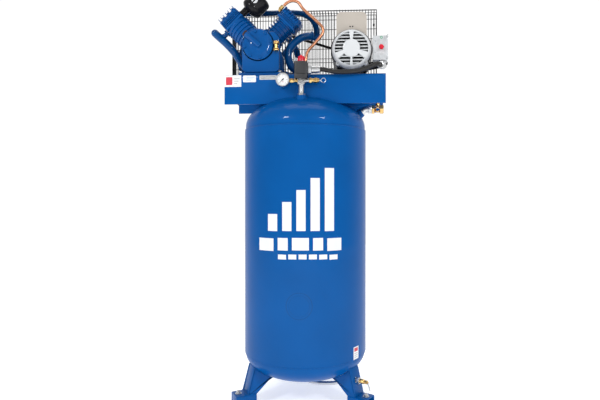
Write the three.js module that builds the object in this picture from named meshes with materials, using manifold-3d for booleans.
// Vertical-tank two-stage belt-drive air compressor.
// Millimetres, +Z up, front of the machine towards -Y. The tank axis is the model's own axis before the final shift;
// the exported group is moved so that its origin is the centre of its footprint, on the floor.
import * as THREE from 'three';
import { mergeVertices } from 'three/addons/utils/BufferGeometryUtils.js';
import Module from 'manifold-3d';

const wasm = await Module();
wasm.setup();

// ---------------------------------------------------------------- driving dimensions
const TANK_R = 254;          // outside radius of the rolled shell (20 inch tank)
const SHELL_T = 3.6;         // shell wall
const SEAM_LOW = 193;        // lower girth seam
const SEAM_TOP = 1108;       // upper girth seam
const HEAD_R = TANK_R - SHELL_T - 0.3;   // heads sit inside the shell ends
const HEAD_T = 4;
const TOP_STRAIGHT = 16, TOP_RISE = 127;
const LOW_STRAIGHT = 4, LOW_RISE = 108;
const DECK_Z = 1324.4;       // top of the platform
const DECK_T = 6;
const DECK_X0 = -314, DECK_X1 = 332, DECK_Y0 = -132, DECK_Y1 = 118;
const FLANGE_Z = 1205;       // lower edge of the platform flanges
const CRANK = [-183, 1450];  // crank axis, X and Z
const CYL_Y = -20;           // plane of both cylinder axes
const SEAT = 60;             // crank axis to cylinder seat
const S1_HEAD0 = 150, S1_HEAD1 = 195, S2_HEAD0 = 145, S2_HEAD1 = 184;
const HEAD_HALF = 46;        // half width of a cylinder head
const S1_BORE = 45, S2_BORE = 26;
const THROW = 32, ROD = 95;
const FLY_R = 145, BELT_Y = 170;
const MOTOR = [196, 1425.5], MOTOR_R = 84;
const PULLEY_R = 54;
const GRD = { x0: -350, x1: 306, z0: 1233, z1: 1670, yf: 135, yr: 204.5 };
const SW_Y = -160;           // vertical plane of riser, manifold and switch
const MAN = [-2, 1289];      // manifold centre, X and Z

// ---------------------------------------------------------------- materials
const M = (color, roughness, metalness) => new THREE.MeshStandardMaterial({ color, roughness, metalness });
const BLUE = () => M(0x0a5cae, 0.32, 0.0);
const BLACK = () => M(0x17181a, 0.5, 0.0);
const STEEL = () => M(0xb4b6b8, 0.35, 0.9);
const BRASS = () => M(0xc49a4a, 0.3, 0.95);
const IRON = () => M(0x3d3f42, 0.6, 0.6);

// ---------------------------------------------------------------- helpers
const group = new THREE.Group();
function add(name, geo, mat) {
  const m = new THREE.Mesh(geo, mat);
  m.name = name;
  group.add(m);
  return m;
}
function solid(geo) {
  const g = geo.index ? geo.clone() : geo.clone();
  g.deleteAttribute('normal');
  g.deleteAttribute('uv');
  const m = mergeVertices(g, 1e-3);
  return new wasm.Manifold(new wasm.Mesh({
    numProp: 3,
    vertProperties: new Float32Array(m.attributes.position.array),
    triVerts: new Uint32Array(m.index.array),
  }));
}
function geoOf(man) {
  const mesh = man.getMesh();
  const g = new THREE.BufferGeometry();
  const n = mesh.vertProperties.length / mesh.numProp;
  const p = new Float32Array(n * 3);
  for (let i = 0; i < n; i++) for (let k = 0; k < 3; k++) p[i * 3 + k] = mesh.vertProperties[i * mesh.numProp + k];
  g.setAttribute('position', new THREE.BufferAttribute(p, 3));
  g.setIndex(new THREE.BufferAttribute(new Uint32Array(mesh.triVerts), 1));
  g.computeVertexNormals();
  return g;
}
const join = (...gs) => geoOf(gs.map(g => solid(g)).reduce((a, b) => a.add(b)));
const cut = (g, ...tools) => geoOf(tools.map(t => solid(t)).reduce((a, b) => a.subtract(b), solid(g)));
const box = (x0, x1, y0, y1, z0, z1) => {
  const g = new THREE.BoxGeometry(x1 - x0, y1 - y0, z1 - z0);
  g.translate((x0 + x1) / 2, (y0 + y1) / 2, (z0 + z1) / 2);
  return g;
};
const V = (x, y, z) => new THREE.Vector3(x, y, z);
// places a geometry built along +Y so that it runs from a towards b
function aim(g, a, b, mid) {
  const A = V(...a), B = V(...b);
  const q = new THREE.Quaternion().setFromUnitVectors(V(0, 1, 0), B.clone().sub(A).normalize());
  g.applyQuaternion(q);
  const o = mid ? A.clone().add(B).multiplyScalar(0.5) : A;
  g.translate(o.x, o.y, o.z);
  return g;
}
const dist = (a, b) => V(...a).distanceTo(V(...b));
const rod = (a, b, r, seg = 20, r2 = r) => aim(new THREE.CylinderGeometry(r2, r, dist(a, b), seg), a, b, true);
// solid or ring of revolution about the line a->b; profile points are [radius, distance from a]
function spin(a, b, profile, seg = 32) {
  const pts = profile.map(p => new THREE.Vector2(p[0], p[1]));
  let area = 0;
  pts.forEach((p, i) => { const q = pts[(i + 1) % pts.length]; area += p.x * q.y - q.x * p.y; });
  if (area < 0) pts.reverse();   // the outer side always runs upwards
  return aim(new THREE.LatheGeometry(pts, seg), a, b, false);
}
const ringProfile = (ri, ro, h0, h1) => [[ri, h0], [ro, h0], [ro, h1], [ri, h1], [ri, h0]];
const shapeOf = pts => new THREE.Shape(pts.map(p => new THREE.Vector2(p[0], p[1])));
const ext = (shape, depth) => new THREE.ExtrudeGeometry(shape, { depth, bevelEnabled: false, curveSegments: 8 });
// shape drawn in X,Z and pushed through Y from y0 to y1
function prismXZ(shape, y0, y1) {
  const g = ext(Array.isArray(shape) ? shapeOf(shape) : shape, y1 - y0);
  g.rotateX(Math.PI / 2);
  g.translate(0, y1, 0);
  return g;
}
// shape drawn in Y,Z and pushed through X
function prismYZ(shape, x0, x1) {
  const g = ext(Array.isArray(shape) ? shapeOf(shape) : shape, x1 - x0);
  g.applyMatrix4(new THREE.Matrix4().makeBasis(V(0, 1, 0), V(0, 0, 1), V(1, 0, 0)));
  g.translate(x0, 0, 0);
  return g;
}
const prismXY = (shape, z0, z1) => ext(Array.isArray(shape) ? shapeOf(shape) : shape, z1 - z0).translate(0, 0, z0);
// shape drawn across and along a cylinder axis that leaves the crank axis at 45 degrees
const S = Math.SQRT1_2;
const BANK = { stage1: { al: [-S, S], ac: [S, S] }, stage2: { al: [S, S], ac: [S, -S] } };
function prismBank(bank, shape, y0, y1) {
  const { al, ac } = BANK[bank];
  const g = ext(Array.isArray(shape) ? shapeOf(shape) : shape, y1 - y0);
  g.applyMatrix4(new THREE.Matrix4().makeBasis(V(ac[0], 0, ac[1]), V(al[0], 0, al[1]), V(0, -1, 0)));
  g.translate(CRANK[0], y1, CRANK[1]);
  return g;
}
const bankPt = (bank, across, along, y) => {
  const { al, ac } = BANK[bank];
  return [CRANK[0] + along * al[0] + across * ac[0], y, CRANK[1] + along * al[1] + across * ac[1]];
};
function pipe(points, r, sides = 10, steps = 40, tension = 0.5) {
  const curve = new THREE.CatmullRomCurve3(points.map(p => V(...p)), false, 'centripetal', tension);
  const sh = new THREE.Shape();
  for (let i = 0; i < sides; i++) {
    const a = 2 * Math.PI * i / sides;
    if (i === 0) sh.moveTo(r * Math.cos(a), r * Math.sin(a)); else sh.lineTo(r * Math.cos(a), r * Math.sin(a));
  }
  return new THREE.ExtrudeGeometry(sh, { steps, bevelEnabled: false, extrudePath: curve });
}
const circleHole = (cx, cz, r, n = 20) => {
  const p = new THREE.Path();
  for (let i = 0; i < n; i++) {
    const a = -2 * Math.PI * i / n;
    if (i === 0) p.moveTo(cx + r, cz); else p.lineTo(cx + r * Math.cos(a), cz + r * Math.sin(a));
  }
  return p;
};
const rectHole = (x0, x1, z0, z1) => {
  const p = new THREE.Path();
  p.moveTo(x0, z0); p.lineTo(x0, z1); p.lineTo(x1, z1); p.lineTo(x1, z0); return p;
};
const roundRect = (x0, x1, z0, z1, r, n = 4) => {
  const pts = [];
  for (const [cx, cz, a0] of [[x1 - r, z1 - r, 0], [x0 + r, z1 - r, 90], [x0 + r, z0 + r, 180], [x1 - r, z0 + r, 270]])
    for (let i = 0; i <= n; i++) {
      const a = (a0 + 90 * i / n) * Math.PI / 180;
      pts.push([cx + r * Math.cos(a), cz + r * Math.sin(a)]);
    }
  return pts;
};

// ---------------------------------------------------------------- tank
const TSEG = 32;
const domeProfile = (r, rise, zc, sign, n) => {
  const p = [];
  for (let i = 0; i <= n; i++) {
    const a = (Math.PI / 2) * i / n;
    p.push([r * Math.cos(a), zc + sign * rise * Math.sin(a)]);
  }
  p[p.length - 1][0] = 0;
  return p;
};
const Z0 = [0, 0, 0], Z1 = [0, 0, 1];
add('tank_shell', spin(Z0, Z1, ringProfile(TANK_R - SHELL_T, TANK_R, SEAM_LOW, SEAM_TOP), TSEG), BLUE());

const topZ = SEAM_TOP + TOP_STRAIGHT;
const topHeadProfile = grow => domeProfile(HEAD_R + grow, TOP_RISE + grow, topZ, 1, 6);
let topHead = spin(Z0, Z1, [[HEAD_R - HEAD_T, SEAM_TOP - 14], [HEAD_R, SEAM_TOP - 14], ...topHeadProfile(0),
  ...domeProfile(HEAD_R - HEAD_T, TOP_RISE - HEAD_T, topZ, 1, 6).reverse(), [HEAD_R - HEAD_T, SEAM_TOP - 14]], TSEG);
const domeTop = (x, y) => topZ + TOP_RISE * Math.sqrt(Math.max(0, 1 - (x * x + y * y) / HEAD_R ** 2));
const OUT_B = [226, 0, 1178], OUT_E = [236, 0, 1188];
topHead = cut(join(topHead,
  rod([0, SW_Y, 1212], [0, SW_Y, 1231], 21, 14),
  rod([216, 0, 1168], OUT_E, 19, 14),
  rod([12, -98, 1232], [12, -98, 1250], 19, 12)),
  rod([0, SW_Y, 1190], [0, SW_Y, 1226], 8, 8));
add('tank_head_top', topHead, BLUE());

const lowZ = SEAM_LOW - LOW_STRAIGHT;
let lowHead = spin(Z0, Z1, [...domeProfile(HEAD_R - HEAD_T, LOW_RISE - HEAD_T, lowZ, -1, 6), ...domeProfile(HEAD_R, LOW_RISE, lowZ, -1, 6).reverse(),
  [HEAD_R, SEAM_LOW + 14], [HEAD_R - HEAD_T, SEAM_LOW + 14], [HEAD_R - HEAD_T, lowZ]], TSEG);
lowHead = cut(join(lowHead, rod([0, 0, 74], [0, 0, 86], 17, 16)), rod([0, 0, 70], [0, 0, 95], 6, 12));
add('tank_head_bottom', lowHead, BLUE());

// ---------------------------------------------------------------- legs and feet
const lowTool = () => spin(Z0, Z1, [[0, 400], [TANK_R + 0.4, 400], [TANK_R + 0.4, SEAM_LOW - 0.4], [HEAD_R + 0.4, SEAM_LOW - 0.4],
  ...domeProfile(HEAD_R + 0.5, LOW_RISE + 0.5, lowZ, -1, 6)].reverse(), TSEG);
const FOOT_TOP = 50, FOOT_R0 = 238, FOOT_R1 = 311, FOOT_W = 36, FOOT_BOLT = 293;
function leg(name, deg) {
  // drawn along +X, then turned about the tank axis
  const side = s => {
    const g = prismXZ([[229, FOOT_TOP - 3], [264, FOOT_TOP - 3], [236, 154], [215, 160], [150, 118]], -2.5, 2.5);
    g.translate(0, s * 30.5, 0);
    return g;
  };
  const plate = prismXZ([[259, FOOT_TOP - 3], [265, FOOT_TOP - 3], [237, 154], [231, 154]], -33, 33);
  const pan = cut(box(FOOT_R0 - 10, FOOT_R1, -FOOT_W, FOOT_W, 10, FOOT_TOP), box(FOOT_R0 - 20, FOOT_R1 - 5, -FOOT_W + 5, FOOT_W - 5, 0, FOOT_TOP - 5));
  let g = join(plate, side(1), side(-1), pan);
  const tools = [rod([FOOT_BOLT, 0, 30], [FOOT_BOLT, 0, 60], 7, 12)];
  if (name === 'leg_front_right') tools.push(rod([225, 0, 106], [300, 0, 106], 11, 12));
  g = cut(g, ...tools);
  g.rotateZ(deg * Math.PI / 180);
  g = cut(g, lowTool());
  add(name, g, BLUE());
  const pad = join(box(FOOT_R0 - 6, FOOT_R1 - 1, -FOOT_W + 1, FOOT_W - 1, 0, 9.7), box(FOOT_R0, FOOT_R1 - 9, -FOOT_W + 9, FOOT_W - 9, 8, 20));
  const p = cut(pad, rod([FOOT_BOLT, 0, 4], [FOOT_BOLT, 0, 60], 7, 12));
  p.rotateZ(deg * Math.PI / 180);
  add(name.replace('leg', 'foot_pad'), p, BLACK());
}
leg('leg_front_left', -150);
leg('leg_front_right', -30);
leg('leg_rear', 90);

// ---------------------------------------------------------------- platform: bent channel welded to the dome
{
  const o = [], i = [], R = 12, n = 4;
  const arc = (arr, cx, cz, r, a0, a1) => { for (let k = 0; k <= n; k++) { const a = (a0 + (a1 - a0) * k / n) * Math.PI / 180; arr.push([cx + r * Math.cos(a), cz + r * Math.sin(a)]); } };
  o.push([DECK_Y1, FLANGE_Z]); arc(o, DECK_Y1 - R, DECK_Z - R, R, 0, 90); arc(o, DECK_Y0 + R, DECK_Z - R, R, 90, 180); o.push([DECK_Y0, FLANGE_Z]);
  i.push([DECK_Y0 + DECK_T, FLANGE_Z]); arc(i, DECK_Y0 + R, DECK_Z - R, R - DECK_T, 180, 90); arc(i, DECK_Y1 - R, DECK_Z - R, R - DECK_T, 90, 0); i.push([DECK_Y1 - DECK_T, FLANGE_Z]);
  const dome = spin(Z0, Z1, [[0, 1100], [HEAD_R + 0.5, 1100], ...topHeadProfile(0.5)], TSEG);
  const g = cut(prismYZ([...o, ...i], DECK_X0, DECK_X1), dome, rod([12, -98, 1300], [12, -98, 1340], 13, 16), rod([12, -98, 1225], [12, -98, 1262], 20, 16));
  add('platform', g, BLUE());
}

// ---------------------------------------------------------------- drain
const DA = -30 * Math.PI / 180, dr = (r, z, t = 0) => [r * Math.cos(DA) - t * Math.sin(DA), r * Math.sin(DA) + t * Math.cos(DA), z];
add('drain_pipe', pipe([[0, 0, 73.6], [0, 0, 66], dr(14, 57), dr(60, 57), dr(140, 72), dr(200, 94), dr(228, 104.5), dr(242, 106), dr(256.6, 106)], 8, 8, 14), STEEL());
add('drain_valve_body', spin(dr(257, 106), dr(304, 106), [[0, 0], [14.5, 0], [14.5, 9], [9, 11], [9, 30], [6, 32], [6, 36], [0, 36]], 12), BRASS());
add('drain_valve_handle', join(spin(dr(293.4, 106), dr(314, 106), [[0, 0], [7.5, 0], [7.5, 6], [3, 7], [3, 10], [0, 10]], 12),
  pipe([dr(301, 106), dr(303, 98), dr(307, 88), dr(311, 76)], 2.4, 6, 5)), STEEL());

// ---------------------------------------------------------------- outlet elbow and ball valve
add('outlet_elbow', join(spin([236.3, 0, 1188.3], [246, 0, 1198], [[0, 0], [17, 0], [17, 9], [13.5, 10], [13.5, 14], [0, 14]], 12),
  pipe([[240, 0, 1191], [247, 0, 1196.5], [258, 0, 1200], [270, 0, 1200]], 13.5, 10, 5),
  rod([264, 0, 1200], [279.7, 0, 1200], 16.5, 12)), STEEL());
{
  const bz = 1200;
  const body = cut(join(
    spin([280, 0, bz], [330, 0, bz], [[0, 0], [16, 0], [16, 11], [19, 14], [20, 24], [19, 34], [16, 37], [16, 49], [0, 49]], 14),
    rod([304, 0, bz + 10], [304, 0, bz + 28], 9, 12)),
    rod([300, 0, bz], [340, 0, bz], 10.5, 12),
    rod([270, 0, bz], [300, 0, bz], 8.5, 12),
    spin([304, -15, bz], [304, 15, bz], [[0, 0.6], [5, 1.2], [10, 4.2], [14, 10], [14.9, 15], [14, 20], [10, 25.8], [5, 28.8], [0, 29.4]], 12),
    rod([304, 0, bz], [304, 0, bz + 40], 4.6, 12));
  add('ball_valve_body', body, BRASS());
  const ball = cut(spin([304, -14, bz], [304, 14, bz], [[0, 0.2], [5, 0.9], [10, 4.1], [13, 9.6], [13.8, 14], [13, 18.4], [10, 23.9], [5, 27.1], [0, 27.8]], 12),
    rod([304, -30, bz], [304, 30, bz], 8, 10));
  // wing handle with its stem and the ball; closed, the wings lie across the bore
  add('ball_valve_handle', join(ball, rod([304, 0, bz + 11], [304, 0, bz + 34], 4.1, 10), box(298, 310, -20, 20, bz + 30.5, bz + 34), box(299.5, 308.5, -21, -17, bz + 31, bz + 41), box(299.5, 308.5, 17, 21, bz + 31, bz + 41), rod([304, 0, bz + 33], [304, 0, bz + 39], 6.5, 6)), M(0xa08850, 0.4, 0.6));
}

// ---------------------------------------------------------------- riser, manifold and what is screwed into it
add('riser_pipe', cut(join(rod([0, SW_Y, 1231.3], [0, SW_Y, 1273.7], 11, 18), rod([0, SW_Y, 1231.3], [0, SW_Y, 1241], 16, 6)), rod([0, SW_Y, 1220], [0, SW_Y, 1290], 7, 12)), STEEL());
{
  const [mx, mz] = MAN;
  const g = cut(join(box(mx - 12, mx + 16, SW_Y - 12, SW_Y + 12, 1274, 1302.7),
    rod([mx, SW_Y - 20, mz + 1], [mx, SW_Y, mz + 1], 10.5, 18),
    rod([mx - 26, SW_Y, 1291], [mx, SW_Y, 1291], 8.5, 14), rod([mx, SW_Y, 1291], [mx + 33, SW_Y, 1291], 9, 14)),
    rod([0, SW_Y, 1265], [0, SW_Y, 1310], 6, 12), rod([mx - 40, SW_Y, 1291], [mx, SW_Y, 1291], 5, 10), rod([mx, SW_Y, 1291], [mx + 40, SW_Y, 1291], 5, 10));
  add('manifold', g, STEEL());
}
const GX = -72.5, GZ = 1293, GY0 = -176, GY1 = -148;   // gauge centre and faces
{
  const cup = spin([GX, GY1, GZ], [GX, GY0, GZ], [[0, 0], [25, 0], [27.2, 3], [27.2, 28], [24.6, 28], [24.6, 20], [0, 20]], 20);
  const g = cut(join(cup, rod([GX + 24, SW_Y, 1291], [MAN[0] - 26.3, SW_Y, 1291], 8, 6), rod([GX, GY0 + 12, GZ], [GX, GY0 + 3.3, GZ], 1.6, 8)), rod([GX + 30, SW_Y, 1291], [MAN[0] - 20, SW_Y, 1291], 3, 8));
  add('gauge_case', g, M(0xd9dadb, 0.3, 0.2));
  const nd = prismXZ([[-1.6, -8], [1.6, -8], [0.5, 18], [-0.5, 18]], -1, 0);
  nd.rotateY(-135 * Math.PI / 180);
  const hub = rod([0, -1.6, 0], [0, 0.4, 0], 3.4, 12);
  const needle = cut(join(nd, hub), rod([0, -0.6, 0], [0, 2, 0], 2.2, 10));
  needle.translate(GX, GY0 + 3.4, GZ);
  add('gauge_needle', needle, BLACK());
}
{
  const x0 = MAN[0] + 33.3;
  add('safety_valve_body', cut(spin([x0, SW_Y, 1291], [x0 + 60, SW_Y, 1291], [[0, 0], [9, 0], [9, 12], [11, 13], [11, 22], [8.5, 24], [8.5, 38], [6, 40], [0, 40]], 12), rod([x0 + 28, SW_Y, 1291], [x0 + 60, SW_Y, 1291], 3.4, 10)), BRASS());
  const rg = new THREE.TorusGeometry(9, 1.3, 5, 12);
  rg.rotateX(Math.PI / 2); rg.translate(x0 + 55.5, SW_Y, 1291);
  add('safety_valve_ring', join(rod([x0 + 29, SW_Y, 1291], [x0 + 47.5, SW_Y, 1291], 2.6, 8), rg), STEEL());
}
add('pressure_switch_base', cut(join(box(-24, 26, -184.6, -137, 1303.3, 1308), rod([0, SW_Y, 1303], [0, SW_Y, 1316], 12, 14)), rod([0, SW_Y, 1300], [0, SW_Y, 1313], 5, 10)), M(0x8d9094, 0.5, 0.6));
add('pressure_switch_cover', join(cut(join(box(-25, 26, -192, -134.5, 1308.3, 1361), box(-25, 26, -140, -112, 1327, 1361)),
  box(-22.5, 23.5, -189.5, -137, 1300, 1358.5), rod([0, SW_Y, 1350], [0, SW_Y, 1370], 8.4, 14)), box(-25, 26, -192, -185.2, 1294, 1312)), BLACK());
add('pressure_switch_knob', join(rod([0, SW_Y, 1347], [0, SW_Y, 1362], 8, 14), rod([0, SW_Y, 1361.4], [0, SW_Y, 1386], 15.5, 18, 14.5), box(-2.5, 2.5, SW_Y - 14, SW_Y + 14, 1385, 1390)), M(0xc8202c, 0.35, 0));

// ---------------------------------------------------------------- starter box and conduit
const SBX0 = 281, SBX1 = 342, SBZ0 = 1383, SBZ1 = 1481;
add('starter_box', cut(box(SBX0, SBX1, -100, -35, SBZ0, SBZ1), box(SBX0 + 2, SBX1 - 2, -110, -37, SBZ0 + 2, SBZ1 - 2)), M(0xb9bcbf, 0.45, 0.3));
add('starter_cover', cut(prismXZ(roundRect(SBX0 - 1, SBX1 + 1, SBZ0 - 1, SBZ1 + 1, 5, 3), -115, -100.3), box(SBX0 + 2, SBX1 - 2, -112.5, -99, SBZ0 + 2, SBZ1 - 2), rod([315, -120, 1433], [315, -105, 1433], 8.4, 16)), M(0xc4c7c9, 0.42, 0.2));
add('stop_button', join(rod([315, -119, 1433], [315, -106, 1433], 8, 16), rod([315, -111.9, 1433], [315, -106, 1433], 9.6, 16)), M(0xc8202c, 0.35, 0));
add('conduit_connector_left', join(rod([26.3, -150, 1336], [40, -150, 1336], 17, 6), rod([38, -150, 1336], [73, -150, 1336], 14.5, 18)), STEEL());
const CR = [311.5, -112, 1361.5], CD = [0.45, 0.893, 0];   // face and direction of the elbow connector
const along = (t, z = 0) => [CR[0] + CD[0] * t, CR[1] + CD[1] * t, CR[2] + z];
add('conduit_connector_right', cut(join(rod(along(0), along(14), 16, 18), rod(along(10), along(34), 12, 14), rod(along(26), along(26, SBZ0 - 1.3 - CR[2]), 11.5, 14), rod(along(26, 11), along(26, SBZ0 - 1.3 - CR[2]), 16, 6)), rod(along(-4), along(7), 10.2, 16)), STEEL());
add('conduit', pipe([[73.4, -150, 1336], [84, -150, 1336], [104, -150, 1332], [130, -150, 1327], [165, -150, 1325.5], [205, -149, 1328], [238, -147, 1334], [262, -146, 1342.5], [284, -145, 1352.5], [299, -136, 1359], along(-8), along(-1), along(6)], 9.3, 8, 22), BLACK());

// ---------------------------------------------------------------- motor
const [MX, MZ] = MOTOR;
const my = y => [MX, y, MZ];
{
  const shell = spin(my(-98), my(70), ringProfile(79, MOTOR_R, 0, 168), 28);
  const foot = cut(box(MX - 68, MX + 68, -85, 62, DECK_Z + 0.4, DECK_Z + 7), box(MX - 40, MX + 40, -60, 36, DECK_Z - 2, DECK_Z + 10));
  const strut = (x, y0, y1) => cut(box(x - 14, x + 14, y0, y1, DECK_Z + 4, MZ - 56), rod([MX, y0 - 5, MZ], [MX, y1 + 5, MZ], 80, 28));
  add('motor_housing', join(shell, foot, strut(MX - 50, -80, -66), strut(MX + 50, -80, -66), strut(MX - 50, 42, 56), strut(MX + 50, 42, 56)), M(0x9a9da0, 0.45, 0.2));
}
{
  const bell = (ya, yb) => spin(my(ya), my(yb), [[17.5, 30], [17.5, 37], [30, 37], [62, 33], [76, 24], [79, 12], [79, 0], [75, 0], [75, 10], [70, 20], [58, 28], [30, 31], [17.5, 30]], 20);
  let front = bell(-98.3, -136);
  const slots = [];
  for (let i = 0; i < 6; i++) {
    const a = (30 + 60 * i) * Math.PI / 180;
    const s = rod([0, -150, 0], [0, -110, 0], 9, 6);
    s.translate(MX + 50 * Math.cos(a), 0, MZ + 50 * Math.sin(a));
    slots.push(s);
  }
  add('motor_end_bell_front', cut(front, ...slots), M(0xc9ccce, 0.4, 0.5));
  add('motor_end_bell_rear', spin(my(70.3), my(108), [[17.5, 29], [17.5, 35], [60, 32], [79, 12], [79, 0], [75, 0], [75, 10], [58, 27], [17.5, 29]], 20), M(0xc9ccce, 0.4, 0.5));
}
add('motor_rotor', spin(my(-131), my(230), [[0, 0], [14, 0], [14, 40], [46, 41], [46, 190], [14, 191], [14, 322], [0, 322]], 16), IRON());
add('capacitor_cover', cut(prismXZ(roundRect(MX - 61, MX + 61, MZ + 40, 1578, 16, 3), -100, 40), rod(my(-110), my(50), MOTOR_R + 0.5, 28),
  box(MX - 57, MX + 57, -96, 36, MZ + 30, 1573)), M(0xb5ada0, 0.5, 0));
add('motor_pulley', spin(my(147), my(193), [[15, 4], [15, 42], [24, 42], [24, 36], [PULLEY_R, 36], [PULLEY_R, 34.5], [42, 32.2], [42, 13.8], [PULLEY_R, 11.5], [PULLEY_R, 10], [24, 10], [24, 4], [15, 4]], 18), IRON());

// ---------------------------------------------------------------- belt: one loop round both sheaves
const [CX, CZ] = CRANK;
{
  const loop = (r1, r2) => {
    const dx = MX - CX, dz = MZ - CZ, D = Math.hypot(dx, dz), base = Math.atan2(dz, dx), g = Math.acos((r1 - r2) / D), pts = [];
    const n1 = 34, n2 = 10;
    for (let i = 0; i <= n1; i++) { const a = base + g + (2 * Math.PI - 2 * g) * i / n1; pts.push([CX + r1 * Math.cos(a), CZ + r1 * Math.sin(a)]); }
    for (let i = 0; i <= n2; i++) { const a = base - g + (2 * g) * i / n2; pts.push([MX + r2 * Math.cos(a), MZ + r2 * Math.sin(a)]); }
    return pts;
  };
  const sh = shapeOf(loop(144.6, 53.6));
  sh.holes.push(new THREE.Path(loop(135, 44).reverse().map(p => new THREE.Vector2(...p))));
  add('drive_belt', prismXZ(sh, BELT_Y - 8.3, BELT_Y + 8.3), BLACK());
}

// ---------------------------------------------------------------- flywheel and crankshaft
const cy = y => [CX, y, CZ];
{
  const rim = spin(cy(147.5), cy(192.5), [[119, 0], [FLY_R, 0], [FLY_R, 11], [133, 13.2], [133, 31.8], [FLY_R, 34], [FLY_R, 45], [119, 45], [119, 0]], 32);
  const hub = spin(cy(147.5), cy(192.5), ringProfile(18.5, 36, 3, 42), 18);
  const spokes = [];
  for (let i = 0; i < 5; i++) {
    const s = new THREE.BoxGeometry(96, 8, 30);
    s.rotateX(35 * Math.PI / 180);
    s.translate(77, 0, 0);
    s.rotateY((18 + 72 * i) * Math.PI / 180);
    s.translate(CX, BELT_Y, CZ);
    spokes.push(s);
  }
  add('flywheel', join(rim, hub, ...spokes), IRON());
}
{
  const y0 = 8;
  const web = rod(cy(y0), cy(26), 40, 24);
  // the crankpin stops short of the connecting rods: the linkage is open here
  const stub = rod([CX, -2.5, CZ + THROW], [CX, 12, CZ + THROW], 10, 16);
  add('crankshaft', join(web, stub, rod(cy(24), cy(196), 18, 18), rod(cy(20), cy(36), 26, 18)), STEEL());
}

// ---------------------------------------------------------------- pump: crankcase
{
  const outline = [[-249, 1338], [-99, 1338], [-99, 1455], ...[[HEAD_HALF + 4, SEAT], [-(HEAD_HALF + 4), SEAT]].map(([a, l]) => { const p = bankPt('stage2', a, l, 0); return [p[0], p[2]]; }),
    ...[[HEAD_HALF + 4, SEAT], [-(HEAD_HALF + 4), SEAT]].map(([a, l]) => { const p = bankPt('stage1', a, l, 0); return [p[0], p[2]]; }), [-249, 1450]];
  const main = prismXZ(outline, -76, 62);
  const front = prismXZ([[-249, 1338], [-97, 1338], [-97, 1490], [-112, 1504], [-206, 1504], [-249, 1470]], -105, -70);
  const base = box(-266, -88, -98, 72, DECK_Z + 0.4, 1340);
  const boss = rod([-232, -113, 1493], [-172, -113, 1442], 13, 12);
  const inner = prismXZ([[-241, 1346], [-107, 1346], [-107, 1462], [-183 + 22, 1518.5], [-183 - 22, 1518.5], [-241, 1458]], -68, 54);
  const inner2 = prismXZ([[-241, 1346], [-107, 1346], [-107, 1484], [-118, 1494], [-203, 1494], [-241, 1465]], -97, -66);
  const s1Bore = rod(bankPt('stage1', 0, 30, CYL_Y), bankPt('stage1', 0, 80, CYL_Y), S1_BORE + 2, 20);
  const s2Bore = rod(bankPt('stage2', 0, 30, CYL_Y), bankPt('stage2', 0, 80, CYL_Y), S2_BORE + 14, 20);
  const bearing = rod(cy(50), cy(66), 19.2, 18);
  const mouth = rod(cy(-110), cy(-90), 46, 20);
  const feet = [];
  for (const [x, y] of [[-258, -88], [-96, -88], [-258, 64], [-96, 64]]) feet.push(rod([x, y, 1300], [x, y, 1350], 4.5, 10));
  add('crankcase', cut(join(main, front, base, boss), inner, inner2, s1Bore, s2Bore, bearing, mouth, rod([-246, -113, 1505], [-205, -113, 1470], 8.5, 12), ...feet), BLUE());
}
add('crankcase_front_cover', cut(join(spin(cy(-105.3), cy(-130), [[0, 0], [62, 0], [62, 5], [40, 6.5], [36, 7.4], [0, 7.4]], 24), rod(cy(-100), cy(-106), 44, 20)),
  rod([-240, -113, 1499.8], [-164, -113, 1435.2], 14, 12), rod([-250, -113, 1508.3], [-229, -113, 1490.5], 15.5, 8)), BLUE());
add('oil_filler_plug', join(rod([-237.6, -113, 1497.8], [-232.3, -113, 1493.3], 14.5, 6), rod([-236, -113, 1496.4], [-214, -113, 1477.7], 8, 12)), M(0x6a4a30, 0.5, 0.2));
add('brass_breather', join(spin([-107, -120, 1421], [-107, -120, 1459], [[0, 0], [12.5, 0], [12.5, 9], [7.5, 13], [7.5, 25], [12.5, 29], [12.5, 38], [0, 38]], 12), rod([-107, -105.4, 1440], [-107, -116, 1440], 6, 10)), BRASS());

// ---------------------------------------------------------------- cylinders, heads, pistons, rods
function barrel(bank, bore, rBase, rFin, l0, l1, fins) {
  const prof = [[bore + 0.5, 0], [rFin - 2, 0], [rFin - 2, 8]];
  const h = l1 - l0, pitch = (h - 14) / fins;
  for (let i = 0; i < fins; i++) {
    const z = 12 + pitch * i;
    prof.push([rBase, z - 3.2], [rBase, z + 1], [rFin, z + 1.6], [rFin, z + 4.2]);
    if (i === fins - 1) prof.push([rBase, z + 5]);
  }
  prof.push([rBase, h - 6], [rFin - 4, h - 5.5], [rFin - 4, h], [bore + 0.5, h], [bore + 0.5, 0]);
  return spin(bankPt(bank, 0, l0, CYL_Y), bankPt(bank, 0, l1, CYL_Y), prof, 16);
}
add('stage1_cylinder', barrel('stage1', S1_BORE + 1, 49, 54, SEAT + 0.3, S1_HEAD0 - 0.3, 5), BLUE());
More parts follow.
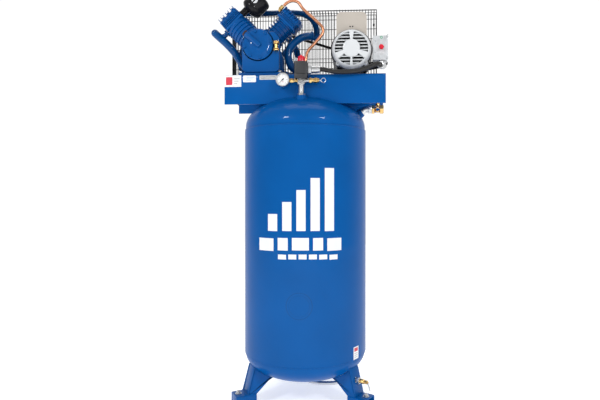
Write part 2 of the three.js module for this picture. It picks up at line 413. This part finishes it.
// the skirt is relieved where the connecting rod swings
add('stage2_cylinder', cut(barrel('stage2', S2_BORE + 1, 38, 50, SEAT + 0.3, S2_HEAD0 - 0.3, 5), prismBank('stage2', [[-33.5, 55], [33.5, 55], [33.5, 60.5], [24.5, 86], [-24.5, 86], [-33.5, 60.5]], -20, -4)), BLUE());
function head(bank, l0, l1, fins, tip) {
  const pts = [[-HEAD_HALF, l0], [HEAD_HALF, l0], [HEAD_HALF, l1]];
  const pitch = (2 * HEAD_HALF) / fins;
  for (let i = fins - 1; i >= 0; i--) {
    const c = -HEAD_HALF + pitch * (i + 0.5);
    pts.push([c + 1.4, l1], [c + 0.9, l1 + tip], [c - 0.9, l1 + tip], [c - 1.4, l1]);
  }
  pts.push([-HEAD_HALF, l1]);
  return prismBank(bank, pts, CYL_Y - 50, CYL_Y + 50);
}
{
  const s1Room = rod(bankPt('stage1', 0, S1_HEAD0 - 1, CYL_Y), bankPt('stage1', 0, S1_HEAD1 - 12, CYL_Y), 34, 16);
  const s1Port = rod(bankPt('stage1', 20, 170, CYL_Y), bankPt('stage1', 60, 170, CYL_Y), 9, 10);
  add('stage1_head', cut(head('stage1', S1_HEAD0, S1_HEAD1, 7, 14), s1Room, s1Port), BLUE());
  const s2Room = rod(bankPt('stage2', 0, S2_HEAD0 - 1, CYL_Y), bankPt('stage2', 0, S2_HEAD1 - 12, CYL_Y), 24, 14);
  add('stage2_head', cut(head('stage2', S2_HEAD0, S2_HEAD1, 7, 14), s2Room), BLUE());
}
const WRIST = THROW * S + Math.sqrt(ROD ** 2 - (THROW * S) ** 2);   // wrist pin distance with the crankpin straight up
function piston(bank, r, up, down, pinR, pinHalf, crown) {
  const cup = spin(bankPt(bank, 0, WRIST - down, CYL_Y), bankPt(bank, 0, WRIST + up, CYL_Y),
    [[r - 5, 0], [r, 0], [r, up + down], [0, up + down], [0, up + down - crown], [r - 5, up + down - crown], [r - 5, 0]], 20);
  const w = bankPt(bank, 0, WRIST, CYL_Y);
  return join(cup, rod([w[0], CYL_Y - pinHalf, w[2]], [w[0], CYL_Y + pinHalf, w[2]], pinR, 10));
}
add('stage1_piston', piston('stage1', S1_BORE, 20, 19, 7, 42, 7), M(0xb9bcc0, 0.35, 0.9));
add('stage2_piston', piston('stage2', S2_BORE, 16, 17, 5, 23, 5), M(0xb9bcc0, 0.35, 0.9));
function conrod(bank, y0, y1, eye, pinR) {
  const w = bankPt(bank, 0, WRIST, 0), p = [CX, 0, CZ + THROW];
  const W = y => [w[0], y, w[2]], P = y => [p[0], y, p[2]];
  const dx = p[0] - w[0], dz = p[2] - w[2], L = Math.hypot(dx, dz), nx = -dz / L, nz = dx / L;
  const bar = prismXZ([[w[0] + nx * 5 + dx / L * 9, w[2] + nz * 5 + dz / L * 9], [w[0] - nx * 5 + dx / L * 9, w[2] - nz * 5 + dz / L * 9], [p[0] - nx * 6.5 - dx / L * 13, p[2] - nz * 6.5 - dz / L * 13], [p[0] + nx * 6.5 - dx / L * 13, p[2] + nz * 6.5 - dz / L * 13]], y0 + 1.5, y1 - 1.5);
  return cut(join(bar, rod(W(y0), W(y1), eye, 14), rod(P(y0), P(y1), 16, 16)), rod(W(y0 - 3), W(y1 + 3), pinR + 0.8, 10), rod(P(y0 - 3), P(y1 + 3), 10.5, 14));
}
add('stage1_connecting_rod', conrod('stage1', -34, -22, 12, 7), STEEL());
add('stage2_connecting_rod', conrod('stage2', -18, -6, 9.5, 5), STEEL());

// ---------------------------------------------------------------- pipes of the pump
add('intercooler', pipe([bankPt('stage1', 30, 216, 40), [-268, 70, 1640], [-235, 90, 1645], [-170, 90, 1645], [-60, 90, 1645], [-15, 90, 1636], [22, 90, 1610], [38, 90, 1572], [40, 88, 1540], [40, 74, 1522], [40, 55, 1519]], 13, 8, 26), M(0x0b3f7c, 0.4, 0));
{
  const body = pipe([[-391, 0, 1533], [-372, 0, 1516], [-340, 4, 1487], [-310, 18, 1454], [-284, 52, 1412], [-248, 86, 1378], [-196, 90, 1365], [-110, 90, 1361], [-45, 88, 1358], [-8, 78, 1354], [6, 50, 1353], [-2, 20, 1356], [-28, 4, 1363], [-60, 2, 1385], [-75, 2, 1425], [-72, 4, 1455], [-52, 10, 1486], [-22, 20, 1512], [4, 30, 1522], [20, 38, 1524]], 16.5, 8, 36);
  const end = rod([20, 38, 1524], [26, 40.5, 1524.6], 21, 12);
  const cap = new THREE.SphereGeometry(16.5, 8, 5);
  cap.translate(-391, 0, 1533);
  const side = bankPt('stage1', -HEAD_HALF - 0.4, 166, 0), out = bankPt('stage1', -HEAD_HALF - 9, 166, 0);
  const flange = join(rod(side, out, 15, 12), pipe([out, [out[0] - 10, 0, out[2] - 8], [-372, 0, 1518]], 10, 6, 3), cap);
  add('interstage_pipe', join(body, end, flange), BLUE());
}
add('discharge_tube', pipe([[-84, -60, 1622], [-74, -61, 1632], [-58, -62, 1640], [-41, -63, 1641], [-24, -64, 1634], [-4, -65, 1607], [33, -66, 1572], [62, -68, 1544], [77, -69, 1526], [79, -70, 1508], [70, -74, 1490], [42, -82, 1455], [18, -90, 1424], [12, -96, 1395], [12, -98, 1360], [12, -98, 1286]], 6.2, 6, 28), M(0xc4764a, 0.3, 0.95));
add('check_valve', cut(spin([12, -98, 1250.3], [12, -98, 1290], [[0, 0], [12, 0], [12, 8], [16, 9], [16, 22], [11, 24], [11, 35.4], [0, 35.4]], 12), rod([12, -98, 1245], [12, -98, 1275], 5, 10)), BRASS());
add('discharge_elbow', join(rod(bankPt('stage2', -HEAD_HALF - 0.4, 170, -60), bankPt('stage2', -HEAD_HALF - 10, 170, -60), 9, 6), rod(bankPt('stage2', -HEAD_HALF - 8, 170, -60), bankPt('stage2', -HEAD_HALF - 8, 189, -60), 8, 12)), BRASS());

// ---------------------------------------------------------------- air filter
{
  const f = ac => bankPt('stage1', ac, 155, CYL_Y);
  add('air_filter', cut(join(spin(f(74), f(170), [[0, 0], [22, 0], [38, 8], [44, 16], [46, 22], [46, 72], [42, 82], [30, 87], [0, 87]], 20), rod(bankPt('stage1', 46.4, 170, CYL_Y), bankPt('stage1', 84, 170, CYL_Y), 14, 14)),
    rod(bankPt('stage1', 40, 170, CYL_Y), bankPt('stage1', 130, 170, CYL_Y), 9, 10)), BLACK());
}

// ---------------------------------------------------------------- belt guard: two welded grids and the band between them
{
  const b = 1.6, c = 42;
  const xs = [GRD.x0, -235, -131, -40, 52, 145, 247, GRD.x1], zs = [GRD.z0, 1320, 1385, 1500, 1585, GRD.z1];
  const outline = [[GRD.x0 + c, GRD.z0], [GRD.x1, GRD.z0], [GRD.x1, GRD.z1], [GRD.x0, GRD.z1], [GRD.x0, GRD.z0 + c]];
  const wires = (y0, y1) => {
    const bars = [];
    for (const x of xs.slice(1, -1)) bars.push(box(x - b, x + b, y0, y1, GRD.z0 + 1, GRD.z1 - 1));
    for (const z of zs.slice(1, -1)) bars.push(box(GRD.x0 + 1, GRD.x1 - 1, y0, y1, z - b, z + b));
    return bars;
  };
  const frame = inset => {
    const sh = shapeOf(outline);
    sh.holes.push(new THREE.Path([[GRD.x0 + c + 0.42 * inset, GRD.z0 + inset], [GRD.x0 + inset, GRD.z0 + c + 0.42 * inset], [GRD.x0 + inset, GRD.z1 - inset], [GRD.x1 - inset, GRD.z1 - inset], [GRD.x1 - inset, GRD.z0 + inset]].map(p => new THREE.Vector2(...p))));
    return sh;
  };
  add('guard_front', join(prismXZ(frame(3.5), GRD.yf - 1.5, GRD.yf + 1.5), ...wires(GRD.yf - 1.5, GRD.yf + 1.5)), BLACK());
  add('guard_rear', join(prismXZ(frame(3), GRD.yf + 1.9, GRD.yr + 1.5), ...wires(GRD.yr - 1.5, GRD.yr + 1.5)), BLACK());
}

// ---------------------------------------------------------------- origin: centre of the footprint box, on the floor
group.updateMatrixWorld(true);
const bb = new THREE.Box3().setFromObject(group);
const ox = Math.round((bb.min.x + bb.max.x) * 500) / 1000, oy = Math.round((bb.min.y + bb.max.y) * 500) / 1000;
group.position.set(-ox, -oy, 0);
group.updateMatrixWorld(true);
export default group;
